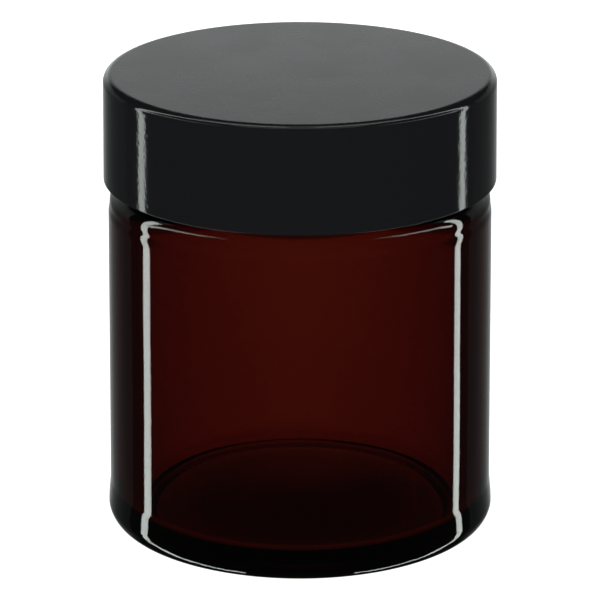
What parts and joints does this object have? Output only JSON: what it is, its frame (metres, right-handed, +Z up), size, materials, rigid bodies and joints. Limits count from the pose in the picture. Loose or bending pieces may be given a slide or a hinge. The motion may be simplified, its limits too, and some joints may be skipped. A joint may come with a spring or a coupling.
{
  "type": "cosmetic cream jar",
  "caption": "Straight-sided round amber glass jar with a smooth black screw cap and a foam sealing wad, for cream or ointment.",
  "frame": {"origin": "centre of the base, on the surface that the jar stands on", "axes": "+Z up along the axis of the jar and cap; +X and +Y lie in the plane of the base, and the glass thread starts at +X"},
  "size_m": [0.051, 0.051, 0.0608],
  "materials": {
    "amber_glass": "clear, smooth, with faint waves from the mould",
    "black_plastic": "glossy side, satin top",
    "white_foam": "fine closed-cell foam",
    "facing_film": "smooth film"
  },
  "bodies": {
    "jar": {"glass_jar": "amber_glass"},
    "wad": {"wad_foam_disc": "white_foam", "wad_facing_film": "facing_film"},
    "cap": {"screw_cap": "black_plastic"}
  },
  "joints": [
    {"name": "cap_lift", "type": "slide", "parent": "jar", "child": "wad", "axis": [0, 0, 1], "range_m": [0, 0.0192]},
    {"name": "cap_turn", "type": "hinge", "parent": "wad", "child": "cap", "pos_m": [0, 0, 0.05], "axis": [0, 0, 1], "range_deg": [0, 1620]}
  ],
  "couplings": [
    {"joint": "cap_lift", "follows": "cap_turn", "m_per_rad": 0.00067323}
  ]
}
